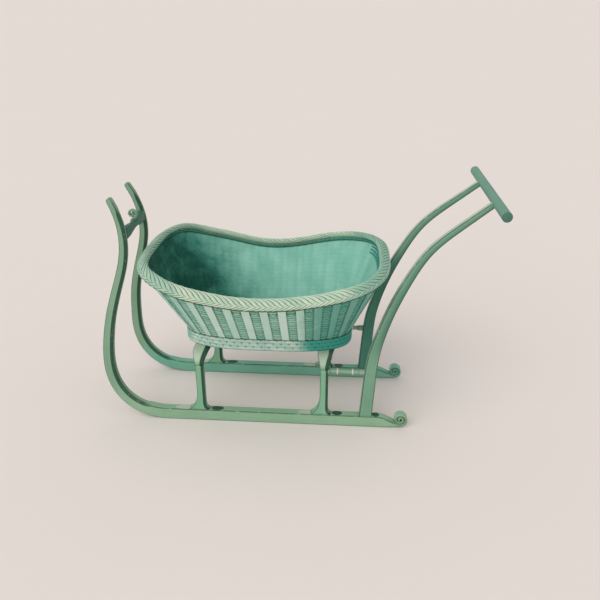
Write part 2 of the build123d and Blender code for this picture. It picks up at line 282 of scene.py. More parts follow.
def paintedWood(name, light, deep, cut=woodLook["cut"], wear=1.0, spots=None, low=None):
    # oil paint brushed along the bar, thin over the grain, with painted shade on bevels, undersides and end
    # faces, painted shadows in the hollows behind the feet and pale painted highlights, and dark edges
    # rubbed through here and there
    made = Finish(name)
    along = made.vector("grain")
    edge = made.value("edge")
    brush = made.noise(made.stretched(along, woodLook["brushStretch"]), 1.0, 3.0)
    grain = made.noise(made.stretched(along, woodLook["grainStretch"]), 1.0, 4.0, 0.65)
    cloud = made.noise(made.place(), 7.0, 3.0)
    speck = made.noise(made.place(), 60.0, 4.0, 0.6)
    tone = (cloud * 0.75 + brush * 0.55 - 0.15).clamped()
    colour = made.mix(tone, deep, light)
    # other tones by the ground: painted light and shade
    if low:
        lowTones, start, end = low
        colour = made.mix(made.part(made.place(), 2).above(start, end), colour, made.mix(tone, *lowTones))
    colour = made.mix(grain.above(0.55, 0.75) * 0.35, colour, deep)
    # painted shade on bevels, undersides and end faces
    colour = made.mix(made.value("cut") * (0.65 + brush * 0.5).clamped(), colour, cut)
    # painted highlights, and painted shadows in the hollows behind the feet
    rubbed, paintedShadow = made.value("rubbed"), 0.0
    if spots:
        rubbed, paintedShadow = ovalSpots(made, spots["rubbed"]), ovalSpots(made, spots["paintedShadows"])
    rubbed = rubbed * (grain * 1.3 + cloud * 0.6 - 0.1).clamped()
    colour = made.mix(rubbed.above(0.1, 0.8), colour, woodLook["rubbed"])
    colour = made.mix(paintedShadow, colour, woodLook["paintedShadow"])
    grime = edge.above(0.25, 0.85) * speck.above(0.25, 0.5)
    colour = made.mix(grime * (0.8 * wear), colour, woodLook["wornEdge"])
    chips = (edge * 0.55 + speck * 0.9 + cloud * 0.35).above(1.22, 1.32)
    colour = made.mix(chips * (0.6 * wear), colour, woodLook["bareWood"])
    roughness = 0.42 + grain * 0.12 + chips * 0.25 + cloud * 0.1
    normal = made.bump(brush * 0.6 + grain * 0.5 - chips * 0.8, 0.35, 0.0008)
    return made.principled(colour, roughness, normal, Specular_IOR_Level=woodLook["specular"])


bars = {
    "trackWidth": 0.350, "thick": 0.034, "edgeRadius": 0.0045, "rowGap": 0.009,
    "fullWear": 0.011,  # the half depth from which an edge is fully worn
    "leanStart": 0.285, "leanBlend": 0.032, "leanRun": 0.010,
}


def barSection(half, thick, radius, bevels=(0, 0, 0, 0)):
    # a rectangle whose corners are round or bevelled, with one more point on the flat at each end
    # of a corner. Corners go round from +depth +thick; a bevel is (along the depth, along the
    # thickness), and rows may differ in size. It gives both places across the bar, the wear of
    # its edges, and how far each point lies on a bevel, which is where shade is painted
    half, thick = np.asarray(half, float)[:, None], np.asarray(thick, float)[:, None]
    radius = np.minimum(radius, 0.9 * np.minimum(half, thick))
    turn = np.radians([0, 22.5, 45, 67.5, 90])
    wear = np.concatenate(([0], np.sin(2 * turn) * 0.8 + 0.2, [0]))
    sides, paintedShades = [], []
    for (signA, signB), bevel in zip(((1, 1), (-1, 1), (-1, -1), (1, -1)), bevels):
        if np.ndim(bevel):
            sizeA = np.clip(bevel[0][:, None], radius, 1.6 * half)
            sizeB = np.clip(bevel[1][:, None], radius, 0.85 * thick)
            flat = np.clip((sizeA - radius) / 0.004, 0, 1)
            straight = np.array([0, 0.1, 0.5, 0.9, 1])[None]
            a = half - sizeA * ((1 - np.cos(turn)) * (1 - flat) + straight * flat)
            b = thick - sizeB * ((1 - np.sin(turn)) * (1 - flat) + (1 - straight) * flat)
            a = np.concatenate((half, a, half - sizeA - 0.3 * radius), 1)
            b = np.concatenate((thick - sizeB - 0.3 * radius, b, thick), 1)
            cut = flat * np.array([0, 1, 1, 1, 1, 1, 0])
        else:
            a = np.concatenate((half, half - radius * (1 - np.cos(turn)), half - 1.3 * radius), 1)
            b = np.concatenate((thick - 1.3 * radius, thick - radius * (1 - np.sin(turn)), thick), 1)
            cut = 0 * a
        order = slice(None) if signA * signB > 0 else slice(None, None, -1)
        sides.append(np.stack((signA * a, signB * b), -1)[:, order])
        paintedShades.append(cut[:, order])
    full = np.concatenate(sides, 1)
    return full[..., 0], full[..., 1], np.tile(wear, 4)[None], np.concatenate(paintedShades, 1)


def sweptBar(name, path, reach, roundStart=0.0, roundEnd=0.0, steady=False, radius=None, axes=(0, 2, 1),
             bevel=None, marks=None):
    # a rounded rectangle carried along a path (p, q, half depth). Its depth lies across the path,
    # or along p where steady, and reach(q, share) places its other side. Near a rounded end the
    # section shrinks as a quarter circle. bevel(place, p, q) gives the four corners' bevels, and
    # marks(points, share of the half depth) more values for the paint: painted highlights and shade.
    radius = bars["edgeRadius"] if radius is None else radius
    p, q, half = path.T
    run = np.concatenate(([0], np.cumsum(np.hypot(np.diff(p), np.diff(q)))))
    length = run[-1]
    quarter = 1 - np.sin(np.radians([90, 72, 54, 36, 18]))
    places = [np.linspace(roundStart, length - roundEnd, max(int(length / bars["rowGap"]), 4))]
    if roundStart:
        places.insert(0, quarter * roundStart)
    if roundEnd:
        places.append(length - quarter[::-1] * roundEnd)
    place = np.concatenate(places)
    half = np.interp(place, run, half)
    pp, qq = np.interp(place, run, p), np.interp(place, run, q)
    dp, dq = np.gradient(pp, place), np.gradient(qq, place)
    size = np.hypot(dp, dq)
    acrossP, acrossQ = (np.ones_like(pp), np.zeros_like(pp)) if steady else (-dq / size, dp / size)
    thick = np.abs(reach(qq, 1.0) - reach(qq, -1.0)) / 2
    shrink = np.zeros_like(place)
    for gap, ease in ((place, roundStart), (length - place, roundEnd)):
        if ease:
            inner = np.clip(ease - gap, 0, ease)
            shrink += ease - np.sqrt(ease ** 2 - inner ** 2)
    half = half - np.minimum(shrink, 0.97 * half)
    thick = thick - np.minimum(shrink * 0.5, 0.4 * thick)
    corners = bevel(place, pp, qq) if bevel else (0, 0, 0, 0)
    a, b, edge, cut = barSection(half, thick, radius, corners)
    points = np.zeros((*a.shape, 3))
    points[..., axes[0]] = pp[:, None] + acrossP[:, None] * a
    points[..., axes[1]] = qq[:, None] + acrossQ[:, None] * a
    points[..., axes[2]] = reach(points[..., axes[1]], b / thick[:, None])
    points[..., 2] = np.maximum(points[..., 2], 0)  # nothing dips into the ground
    edge = edge * np.clip(half / bars["fullWear"], 0.35, 1)[:, None]
    values = {"grain": np.stack((place[:, None] + 0 * a, a, b), -1), "edge": edge, "cut": cut}
    if marks:
        values.update(marks(points, a / half[:, None]))
    return surface(name, points, wrapColumns=True, caps=True, **values)


def addBar(node, path, reach, finish, **shape):
    addPiece(sweptBar(f"{node}_wood", path, reach, **shape), finish, "painted_wood", node)


def leaning(side, spacing, tipThick, top):
    # the bar stands upright to leanStart and then leans inwards in a straight line to its top
    track, full = bars["trackWidth"], bars["thick"]

    def reach(height, share):
        over, blend = height - bars["leanStart"], bars["leanBlend"]
        start = np.where(over < blend, np.clip(over + blend, 0, None) ** 2 / (4 * blend), over)
        lean = start / (top - bars["leanStart"])
        middle = (track + (spacing - track) * lean) / 2
        thick = (full + (tipThick - full) * lean) / 2
        return side * (middle + share * thick)
    return reach


def steadyReach(middle, thick):
    # the same two sides all along the bar
    return lambda level, share: middle + share * thick / 2 + 0 * level


def rolled(centreX, centreZ, radius, band, gap, turns):
    # the middle of a rolled band: half circles of shrinking radius, from the bottom backwards
    step = (band + gap) / 2
    line = []
    for k in range(turns):
        angle = np.radians(np.linspace(-90, 90, 15) + (180 if k % 2 else 0))
        size = radius - k * step - band / 2
        x, z = centreX + size * np.cos(angle), centreZ + step * (k % 2) + size * np.sin(angle)
        line.append(np.stack((x, z, np.full_like(x, band / 2)), -1)[1 if k else 0:])
    return np.concatenate(line)


runner = {
    "depth": 0.046, "hornHeight": 0.852, "hornSpacing": 0.200, "hornTip": 0.024,
    # station, share of the horn height, share of the depth
    "spine": [(0.063, 1.000, 0.42), (0.090, 0.930, 0.53), (0.104, 0.857, 0.60), (0.102, 0.757, 0.66),
              (0.074, 0.635, 0.70), (0.038, 0.488, 0.75), (0.020, 0.338, 0.81), (0.023, 0.215, 0.86),
              (0.057, 0.119, 0.92), (0.122, 0.054, 0.97)],
    "flat": (0.212, 0.262), "taperAt": 1.031,
    "rollAt": 1.116, "rollRadius": 0.027, "rollLift": 0.005, "rollBand": 0.0085, "rollGap": 0.0022,
    # station and length of the painted shadows behind the feet, and of the painted highlights in front of
    # them
    "paintedShadows": ((0.391, 0.052), (0.856, 0.042), (1.008, 0.030)),
    "rubbed": ((0.250, 0.085), (0.725, 0.080), (1.040, 0.066)), "spotHalfWidth": 0.015,
    "bevel": 0.010, "tipRound": 0.009, "rollRound": 0.002,
}


def hornBevel(place, x, z):
    # the horn's rear edges, inside and out, are bevelled from under its tip down to the bend
    size = runner["bevel"] * smoothStep(0.01, 0.08, place) * smoothStep(at(0.185), at(0.120), x)
    pair = (size, 0.92 * size)
    return pair, 0, 0, pair


def runnerPath():
    # horn and bend as a smooth line through the spine, then the straight sole, the taper to the
    # roll's band, and the roll
    depth = runner["depth"]
    top = runner["hornHeight"]
    spine = [(at(x), share * top, part * depth / 2) for x, share, part in runner["spine"]]
    spine += [(at(x), depth / 2, depth / 2) for x in runner["flat"]]
    front = throughPoints(spine, 160)
    tail, lift, band = at(runner["rollAt"]), runner["rollLift"], runner["rollBand"]
    t = np.linspace(0, 1, 16)
    x = at(runner["taperAt"]) + t * (tail - at(runner["taperAt"]))
    low = lift * smoothStep(0.2, 1.0, t)
    high = depth + (lift + band - depth) * (0.35 * t + 0.65 * smoothStep(0, 1, t))
    taper = np.stack((x, (low + high) / 2, (high - low) / 2), -1)
    roll = rolled(tail, lift + runner["rollRadius"], runner["rollRadius"], band, runner["rollGap"], 4)
    return np.concatenate((front, taper, roll[1:]))


arm = {
    "foot": 0.984, "footDepth": 0.047, "spacing": 0.262, "tipThick": 0.022,
    "bend": (0.26, 0.42),  # the heights over which it turns from upright to leaning back
    # share of the reach, share of the grip height, depth
    "spine": [(0.020, 0.200, 0.045), (0.050, 0.343, 0.040), (0.119, 0.463, 0.034), (0.197, 0.561, 0.032),
              (0.325, 0.686, 0.029), (0.489, 0.804, 0.025), (0.721, 0.900, 0.022), (1.000, 1.000, 0.019)],
}


def armPath():
    # a smooth line from the top of the runner up and back to the middle of the grip
    gripX, gripZ = gripMiddle
    foot = at(arm["foot"])
    spine = [(foot, runner["depth"] - 0.002, arm["footDepth"] / 2)]
    reach = gripX - foot
    spine += [(foot + share * reach, rise * gripZ, depth / 2) for share, rise, depth in arm["spine"]]
    return throughPoints(spine, 140)


def armMarks(points, share):
    # above its foot an arm has a painted highlight along its top and painted shade towards its underside
    bent = smoothStep(*arm["bend"], points[..., 2])
    return {"cut": bent * np.clip(0.35 - 0.9 * share, 0, 1), "rubbed": 0.7 * bent * (share > 0.9)}


post = {
    "front": 0.360, "rear": 0.826, "depth": 0.030, "top": 0.242,
    "toe": (0.034, 0.082), "heel": (0.014, 0.030), "knee": (0.28, 0.64),
    "bevel": 0.009, "edgeRadius": 0.0035,
}


def flared(drop, run, height):
    # how far two arcs have left the upright after a drop: the first starts in line with it, and
    # the second goes on from the knee to the full run
    kneeRun, kneeDrop = post["knee"][0] * run, post["knee"][1] * height
    firstRadius = (kneeRun ** 2 + kneeDrop ** 2) / (2 * kneeRun)
    lean = math.asin(kneeDrop / firstRadius)
    chord = (run - kneeRun, height - kneeDrop)
    normal = (math.cos(lean), -math.sin(lean))
    radius = (chord[0] ** 2 + chord[1] ** 2) / (2 * (chord[0] * normal[0] + chord[1] * normal[1]))
    centre = (kneeRun + radius * normal[0], kneeDrop + radius * normal[1])
    drop = np.clip(drop, 0, height)
    first = firstRadius - np.sqrt(np.clip(firstRadius ** 2 - drop ** 2, 0, None))
    second = centre[0] - np.sqrt(np.clip(radius ** 2 - (drop - centre[1]) ** 2, 0, None))
    return np.where(drop < kneeDrop, first, second)


def postPath(station):
    # upright, with the middle and the half depth that its two flares leave at each height
    base = runner["depth"]
    z = np.concatenate((np.linspace(base, base + 0.1, 40), np.linspace(base + 0.1, post["top"], 8)[1:]))
    ahead = -post["depth"] / 2 - flared(base + post["toe"][1] - z, *post["toe"])
    behind = post["depth"] / 2 + flared(base + post["heel"][1] - z, *post["heel"])
    return np.stack((at(station) + (ahead + behind) / 2, z, (behind - ahead) / 2), -1)


yoke = {
    "depth": 0.034, "thick": 0.026, "shoulder": 0.046, "under": 0.292,
    "ahead": 0.012, "behind": 0.028,  # how much its sides gain from the post to the basket
    # the bevel at the post and what the shoulder adds, how far across it starts, and its least size
    "bevel": (0.011, 0.024), "bevelFrom": (0.08, 0.15), "leastBevel": 0.003,
}


def postBevel(place, x, z):
    # the rear edges of a post are bevelled inside and out
    size = np.full_like(z, post["bevel"])
    return (size, size), 0, 0, (size, size)


def yokeBevel(place, y, z):
    # the rear outer edge of a yoke is cut away more and more towards its shoulder
    rise = np.clip((z - post["top"]) / (yoke["under"] - post["top"]), 0, 1)
    size = (yoke["bevel"][0] + yoke["bevel"][1] * rise) * smoothStep(*yoke["bevelFrom"], np.abs(y))
    return (0.5 * size + yoke["leastBevel"], size + yoke["leastBevel"]), 0, 0, 0


def yokePath():
    # up from one post, round the shoulder, across under the basket and down to the other post
    middle = (bars["trackWidth"] + bars["thick"]) / 2 - yoke["thick"] / 2
    turn = yoke["shoulder"] - yoke["thick"] / 2
    top = yoke["under"] - yoke["thick"] / 2
    angle = np.radians(np.linspace(180, 90, 16))
    y = np.concatenate(([-middle], -middle + turn + turn * np.cos(angle), [0]))
    z = np.concatenate(([post["top"]], top - turn + turn * np.sin(angle), [top]))
    y, z = np.concatenate((y, -y[-2::-1])), np.concatenate((z, z[-2::-1]))
    return np.stack((y, z, np.full_like(y, yoke["thick"] / 2)), -1)


def yokeMarks(points, share):
    # a painted highlight on the outside of a yoke towards its shoulders
    rise = (points[..., 2] - post["top"]) / (yoke["under"] - post["top"])
    return {"rubbed": smoothStep(0.10, 0.40, rise) * (share > 0.97) * (np.abs(points[..., 1]) > 0.1)}


def yokeReach(station):
    # its sides open upwards, each on an arc, into a capital that is longer than the post
    height = yoke["under"] - post["top"]

    def side(rise, run):
        radius = (run ** 2 + height ** 2) / (2 * run)
        rise = np.clip(rise, 0, height)
        return radius - np.sqrt(radius ** 2 - rise ** 2)

    def reach(level, share):
        rise = level - post["top"]
        ahead = -yoke["depth"] / 2 - side(rise, yoke["ahead"])
        behind = yoke["depth"] / 2 + side(rise, yoke["behind"])
        return at(station) + (ahead + behind) / 2 + share * (behind - ahead) / 2
    return reach


cross = {
    "station": 0.108, "thick": 0.020, "waist": 0.020, "neck": 0.010, "neckBand": 0.0060,
    "rollRadius": 0.019, "rollBand": 0.0065, "rollGap": 0.0018, "rollWidth": 0.018,
    "edgeRadius": 0.003, "rollEdge": 0.0018, "rollRound": 0.0015,
}


def crossbarPath():
    # straight across between the horns, with a rounded lobe on either side of the thin middle
    low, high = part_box("horn_crossbar")
    y = np.linspace(low.y - 0.002, high.y + 0.002, 40)
    full = (high.z - low.z) / 2
    half = cross["waist"] / 2 + (full - cross["waist"] / 2) * np.sin(1.9 * np.abs(y / high.y)) ** 1.6
    return np.stack((y, np.full_like(y, (low.z + high.z) / 2), half), -1)


def finialPath():
    # a short neck that leans forwards off the crossbar and swings up into a roll
    low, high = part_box("horn_crossbar")
    x, foot = at(cross["station"]), (low.z + high.z) / 2 + cross["waist"] / 2
    rollLow = foot + cross["neck"]
    neck = [(x - 0.001, foot - 0.003), (x - 0.005, foot + 0.004), (x - 0.0045, foot + 0.0095),
            (x, rollLow + cross["rollBand"] / 2)]
    neck = throughPoints(neck, 12)
    neck = np.column_stack((neck, np.linspace(cross["neckBand"], cross["rollBand"] / 2, 12)))
    radius = cross["rollRadius"]
    roll = rolled(x, rollLow + radius, radius, cross["rollBand"], cross["rollGap"], 3)
    return np.concatenate((neck, roll[1:]))


def turned(name, places, radii, place, axis, columns=40):
    # a profile turned about a line along one axis: radius as a function of the place along it
    places, radii = np.asarray(places, float)[:, None], np.asarray(radii, float)[:, None]
    turn = roundTurn(columns)[None]
    first, second = [k for k in range(3) if k != axis]
    points = np.zeros((places.shape[0], columns, 3))
    points[..., axis] = places
    points[..., first] = place[0] + radii * np.cos(turn)
    points[..., second] = place[1] + radii * np.sin(turn)
    grain = np.stack((places + 0 * turn, radii * np.cos(turn), radii * np.sin(turn)), -1)
    edge = 0.7 * np.clip(np.abs(np.gradient(radii, axis=0)) / 0.0008, 0, 1)  # worn where it narrows
    cut = np.zeros(edge.shape)
    edge[[0, -1]] = 0
    cut[[0, -1]] = 0.8  # painted shade on the end faces
    return surface(name, points, wrapColumns=True, caps=True, grain=grain, edge=edge, cut=cut)


woodTones = {
    "horn": (paint(138, 169, 141), paint(102, 142, 112)),
    # the near sole lighter than the horn as painted light, and the far sole tealer as painted shade
    "sole": (paint(112, 154, 120), paint(152, 184, 154)),
    "farSoleShade": (paint(90, 152, 128), paint(130, 186, 162)),
    "post": (paint(140, 186, 154), paint(104, 154, 122)),
    "arm": (paint(134, 170, 142), paint(84, 134, 110)),
    # painted shade under the arms, and on the far arm's foot
    "armUnderShade": paint(58, 108, 88),
    "farArmFootShade": (paint(44, 108, 92), paint(84, 142, 122)),
    "grip": (paint(112, 158, 136), paint(74, 124, 104)),
    # the crossbar painted darker, as painted shade
    "crossbar": (paint(70, 122, 102), paint(34, 92, 74)),
    "scroll": (paint(142, 176, 150), paint(90, 136, 112)),
    "rail": (paint(152, 176, 154), paint(108, 140, 116)),
    "ring": (paint(222, 220, 200), paint(188, 190, 168)),
    # painted shade on the yokes' bevels
    "yokeBevelShade": paint(30, 92, 78),
}
# low: other tones by the ground, and the heights between which they come in. These are painted light
# and shade: the near sole lighter than the horn, the far sole and the far arm's foot tealer in painted shade
runnerPaint = paintedWood("runnerPaint", *woodTones["horn"], spots=runner,
                          low=(woodTones["sole"], 0.16, 0.05))
farRunnerShadedPaint = paintedWood("farRunnerShadedPaint", *woodTones["horn"], spots=runner,
                             low=(woodTones["farSoleShade"], 0.16, 0.05))
postPaint = paintedWood("postPaint", *woodTones["post"])
# the yokes: painted shade on their bevels and a painted highlight towards their shoulders
yokePaint = paintedWood("yokePaint", *woodTones["post"], cut=woodTones["yokeBevelShade"])
scrollPaint = paintedWood("scrollPaint", *woodTones["scroll"])
# the arms: painted shade underneath and a painted highlight along the top; the far arm is also darker
# towards its foot, as painted shade
armPaint = paintedWood("armPaint", *woodTones["arm"], cut=woodTones["armUnderShade"])
farArmShadedPaint = paintedWood("farArmShadedPaint", *woodTones["arm"], cut=woodTones["armUnderShade"],
                          low=(woodTones["farArmFootShade"], 0.60, 0.50))
gripPaint = paintedWood("gripPaint", *woodTones["grip"], wear=1.4)
# the crossbar: darker all over, as painted shade
crossbarShade = paintedWood("crossbarShadedPaint", *woodTones["crossbar"])
railPaint = paintedWood("railPaint", *woodTones["rail"])
ivory = paintedWood("ivoryRings", *woodTones["ring"], wear=0.6)

topOfHorns = runner["hornHeight"] + bars["leanRun"]
topOfArms = gripMiddle[1] + bars["leanRun"]

for side, name in ((-1, "left"), (1, "right")):
    hornReach = leaning(side, runner["hornSpacing"], runner["hornTip"], topOfHorns)
    addBar(f"runner_{name}", runnerPath(), hornReach, runnerPaint if side < 0 else farRunnerShadedPaint,
           roundStart=runner["tipRound"], roundEnd=runner["rollRound"], bevel=hornBevel)
    armReach = leaning(side, arm["spacing"], arm["tipThick"], topOfArms)
    addBar(f"handle_arm_{name}", armPath(), armReach, armPaint if side < 0 else farArmShadedPaint, marks=armMarks)
    postReach = steadyReach(side * bars["trackWidth"] / 2, bars["thick"])
    for where in ("front", "rear"):
        addBar(f"{where}_post_{name}", postPath(post[where]), postReach, postPaint, steady=True,
               radius=post["edgeRadius"], bevel=postBevel)
for where in ("front", "rear"):
    addBar(f"{where}_yoke", yokePath(), yokeReach(post[where]), yokePaint, axes=(1, 2, 0),
           bevel=yokeBevel, marks=yokeMarks)

crossReach = steadyReach(at(cross["station"]), cross["thick"])
addBar("horn_crossbar", crossbarPath(), crossReach, crossbarShade, radius=cross["edgeRadius"], axes=(1, 2, 0))
finialReach = steadyReach(0, cross["rollWidth"])
addBar("crossbar_scroll", finialPath(), finialReach, scrollPaint, roundEnd=cross["rollRound"],
       radius=cross["rollEdge"])
print("bars made")

grip = {"radius": 0.0165, "bevel": 0.004}
low, high = gripBox
fromEnd = grip["bevel"] * np.array([0, 0.35, 1, 1.5])
ends = grip["radius"] - grip["bevel"] * np.array([1, 0.35, 0, 0])
between = np.linspace(low.y + 0.02, high.y - 0.02, 60)
alongY = np.concatenate((low.y + fromEnd, between, high.y - fromEnd[::-1]))
radii = np.concatenate((ends, np.full(60, grip["radius"]), ends[::-1]))
mesh = turned("push_grip_wood", alongY, radii, gripMiddle, 1)
addPiece(mesh, gripPaint, "painted_wood", "push_grip")

rail = {
    "height": 0.232, "radius": 0.0085, "collar": 0.0112, "collarEnd": (0.012, 0.006),
    "inPost": 0.003, "inArm": 0.022, "rings": (0.0485, 0.1045), "ringWidth": 0.007, "ringRadius": 0.0115,
}


def railPieces(side, name):
    # a turned rod with a collar at either end, and a bead over it at each ring
    start, end = at(post["rear"]) + post["depth"] / 2 - rail["inPost"], at(arm["foot"])
    t = np.linspace(0, 1, 90)
    x = start + t * (end - start)
    fromEnd = np.minimum(x - start, end - rail["inArm"] - x)
    radii = rail["radius"] + (rail["collar"] - rail["radius"]) * smoothStep(*rail["collarEnd"], fromEnd)
    place = (side * bars["trackWidth"] / 2, rail["height"])
    mesh = turned(f"side_rail_{name}_wood", x, radii, place, 0, 24)
    addPiece(mesh, railPaint, "painted_wood", f"side_rail_{name}")
    for number, ring in enumerate(rail["rings"]):
        t = np.linspace(-1, 1, 13)
        x = at(post["rear"]) + ring + t * rail["ringWidth"] / 2
        bead = rail["radius"] + (rail["ringRadius"] - rail["radius"]) * np.sqrt(1 - t ** 2)
        addPiece(turned(f"rail_ring_{name}_{number}", x, bead, place, 0, 28), ivory, "painted_wood")


for side, name in ((-1, "left"), (1, "right")):
    railPieces(side, name)
print("turned pieces made")

oval = {
    "power": 3.0, "panels": 74, "base": 0.338, "wall": 0.010,
    # height over the foot band, front station, rear station, half width
    "low": (0.0, 0.292, 0.919, 0.144), "high": (0.323, 0.146, 1.059, 0.397),
    # height of the border's middle over the foot band, by station
    "rim": [(0.120, 0.292), (0.200, 0.290), (0.300, 0.263), (0.420, 0.235), (0.550, 0.213), (0.700, 0.219),
            (0.850, 0.246), (0.980, 0.268), (1.100, 0.298)],
}


def headingTable():
    # shares of the way round the oval at mid height, evenly along its edge, and the direction that
    # the edge faces there
    low, high, power = oval["low"], oval["high"], oval["power"]
    length = (high[2] - high[1] + low[2] - low[1]) / 4
    width = (high[3] + low[3]) / 2
    t = np.linspace(0, 2 * math.pi, 6001)
    c, s = np.cos(t), np.sin(t)
    r = (np.abs(c) ** power + np.abs(s) ** power) ** (-1 / power)
    x, y = r * c, r * s
    run = np.concatenate(([0], np.cumsum(np.hypot(np.diff(length * x), np.diff(width * y)))))
    across = np.sign(y) * np.abs(y) ** (power - 1) / width
    ahead = np.sign(x) * np.abs(x) ** (power - 1) / length
    return run / run[-1], np.unwrap(np.arctan2(across, ahead))


sharesRound, headings = headingTable()


def headingAt(u):
    whole = np.floor(u)
    return np.interp(u - whole, sharesRound, headings) + 2 * math.pi * whole


def ovalPoint(level, heading):
    # the point of |x/a|^p + |y/b|^p = 1 where the edge faces the heading
    _, front, rear, half = level
    length, power = (rear - front) / 2, oval["power"]
    c, s = np.cos(heading), np.sin(heading)
    q = power / (power - 1)
    u, v = np.abs(length * c) ** q, np.abs(half * s) ** q
    x = length * np.sign(c) * (u / (u + v)) ** (1 / power)
    y = half * np.sign(s) * (v / (u + v)) ** (1 / power)
    return at((front + rear) / 2) + x, y


def wallFrame(u):
    # foot point, rise to the top of the flare, and outward normal, for each share round
    heading = headingAt(u)
    x0, y0 = ovalPoint(oval["low"], heading)
    x1, y1 = ovalPoint(oval["high"], heading)
    c, s = np.cos(heading), np.sin(heading)
    tall = oval["high"][0]
    slope = ((x1 - x0) * c + (y1 - y0) * s) / tall
    size = 1 / np.sqrt(1 + slope ** 2)
    foot = np.stack((x0, y0, np.full_like(x0, oval["base"])), -1)
    rise = np.stack((x1 - x0, y1 - y0, np.full_like(x0, tall)), -1)
    normal = np.stack((c * size, s * size, -slope * size), -1)
    return foot, rise, normal


def wallPoint(u, height, out=0.0):
    # straight up the wall from the foot point to a height, then out along the normal
    u, height, out = np.broadcast_arrays(np.asarray(u, float), height, out)
    foot, rise, normal = wallFrame(u)
    return foot + rise * (height / oval["high"][0])[..., None] + normal * out[..., None]


def rimHeight(u):
    # where the wall's line meets the border's line, found by a few rounds of substitution
    stations, heights = np.array(oval["rim"]).T
    height = np.full_like(np.asarray(u, float), 0.25)
    for _ in range(8):
        station = wallPoint(u, height)[..., 0] + sledEnd
        height = naturalCubic(stations, heights, np.clip(station, stations[0], stations[-1]))
    return height


wickerLook = {
    # painted shade for the creases, green or brown, also used for the slats' nicks
    "creaseShadeAndNicks": paint(38, 66, 48),
    "brownCreaseShade": paint(84, 52, 36),
    # a painted shade wash towards the basket's ends
    "wash": paint(56, 148, 132),
    # places along the sled between which the painted shade wash comes in
    "washRun": 0.09, "frontEnd": (-0.35, -0.42), "slatBack": (0.02, 0.11), "slatFront": (-0.27, -0.40),
}


def paintedWicker(name, light, deep, inner=None, wash=0.7, shadeWashAt=0.02, creaseShadeRange=(0.15, 0.55), creaseShadeShare=0.85):
    # painted willow: each strand a little different, with painted shade where strands dip between each
    # other, and a painted shade wash towards both ends
    made = Finish(name)
    place = made.place()
    alongSled = made.part(place, 0)
    crease, tone = made.value("crease"), made.value("tone")
    cloud = made.noise(place, 9.0, 3.0)
    speck = made.noise(place, 170.0, 3.0, 0.6)
    colour = made.mix((tone * 0.55 + cloud * 0.7 - 0.1).clamped(), deep, light)
    # painted shade towards the back, and less towards the front end
    backShade = (alongSled + (cloud - 0.5) * 0.12).above(shadeWashAt, shadeWashAt + wickerLook["washRun"])
    colour = made.mix(backShade * wash, colour, wickerLook["wash"])
    frontEnd = (alongSled + (cloud - 0.5) * 0.1).above(*wickerLook["frontEnd"])
    colour = made.mix(frontEnd * (0.6 * wash), colour, wickerLook["wash"])
    if inner:
        # the inside: blotched, streaked down each stake, and painted shade, a deeper green, towards the
        # front
        blotch = made.noise(made.stretched(place, (14.0, 14.0, 4.0)), 1.0, 4.0, 0.6)
        mottle = made.noise(place, 34.0, 4.0, 0.65)
        innerTone = made.mix((blotch * 1.6 - 0.3).clamped(), inner[1], inner[0])
        innerTone = made.mix(made.value("stripe") * blotch.above(0.3, 0.6) * 0.7, innerTone, inner[1])
        slant = alongSled + (made.part(place, 2) - 0.56) * 0.9 + (cloud - 0.5) * 0.3
        front = slant.above(-0.25, -0.44)
        innerTone = made.mix((front * (0.35 + mottle * 1.1)).clamped() * 0.95, innerTone, inner[2])
        deepestShade = slant.above(-0.40, -0.52) * (0.6 + mottle * 0.5).clamped()
        innerTone = made.mix(deepestShade, innerTone, inner[3])
        colour = made.mix(made.value("inside"), colour, innerTone)
    # painted shade in the creases, green or brown in patches
    patch = made.noise(place, 23.0, 2.0).above(0.48, 0.62)
    creaseShadeTone = made.mix(patch, wickerLook["creaseShadeAndNicks"], wickerLook["brownCreaseShade"])
    creaseShadeMask = (crease + (speck - 0.5) * 0.25).above(*creaseShadeRange) * creaseShadeShare
    if inner:
        creaseShadeMask = creaseShadeMask * (1.0 - made.value("inside") * 0.95)
    colour = made.mix(creaseShadeMask, colour, creaseShadeTone)
    roughness = 0.55 + speck * 0.12 + crease * 0.2
    normal = made.bump(speck + cloud, 0.3, 0.0006)
    return made.principled(colour, roughness, normal, Specular_IOR_Level=0.16)


def paintedSlat(name, light, deep):
    # flat splints: long fibres up the slat, with a painted shade wash towards both ends of the basket, and
    # dark nicks along the edges
    made = Finish(name)
    grainPlace = made.vector("grain")
    fibre = made.noise(made.stretched(grainPlace, (7.0, 320.0, 60.0)), 1.0, 4.0, 0.6)
    cloud = made.noise(made.place(), 16.0, 3.0)
    nick = made.noise(made.stretched(grainPlace, (260.0, 60.0, 60.0)), 1.0, 3.0, 0.6)
    tone = (made.value("tone") * 0.5 + cloud * 0.8 - 0.1).clamped()
    colour = made.mix(tone, deep, light)
    colour = made.mix(fibre.above(0.56, 0.74) * 0.3, colour, deep)
    alongSled = made.part(made.place(), 0) + (cloud - 0.5) * 0.12
    # painted shade towards the back and, less, towards the front
    colour = made.mix(alongSled.above(*wickerLook["slatBack"]) * 0.78, colour, wickerLook["wash"])
    colour = made.mix(alongSled.above(*wickerLook["slatFront"]) * 0.3, colour, wickerLook["wash"])
    marks = (made.value("edge") * 0.55 + nick * 0.8).above(0.98, 1.12)
    colour = made.mix(marks * 0.65, colour, wickerLook["creaseShadeAndNicks"])
    roughness = 0.46 + fibre * 0.15 + marks * 0.2
    normal = made.bump(fibre * 0.7 - marks, 0.3, 0.0006)
    return made.principled(colour, roughness, normal, Specular_IOR_Level=0.32)


wall = {
    "rows": 16, "rowSteps": 7, "innerSteps": 3, "columnSteps": 8,
    "bulge": 0.0034, "rod": 0.0040, "sunk": 0.0042, "innerSunk": 0.0012, "innerRod": 0.0003,
    "innerStake": 0.0022, "jitter": 0.2,
}


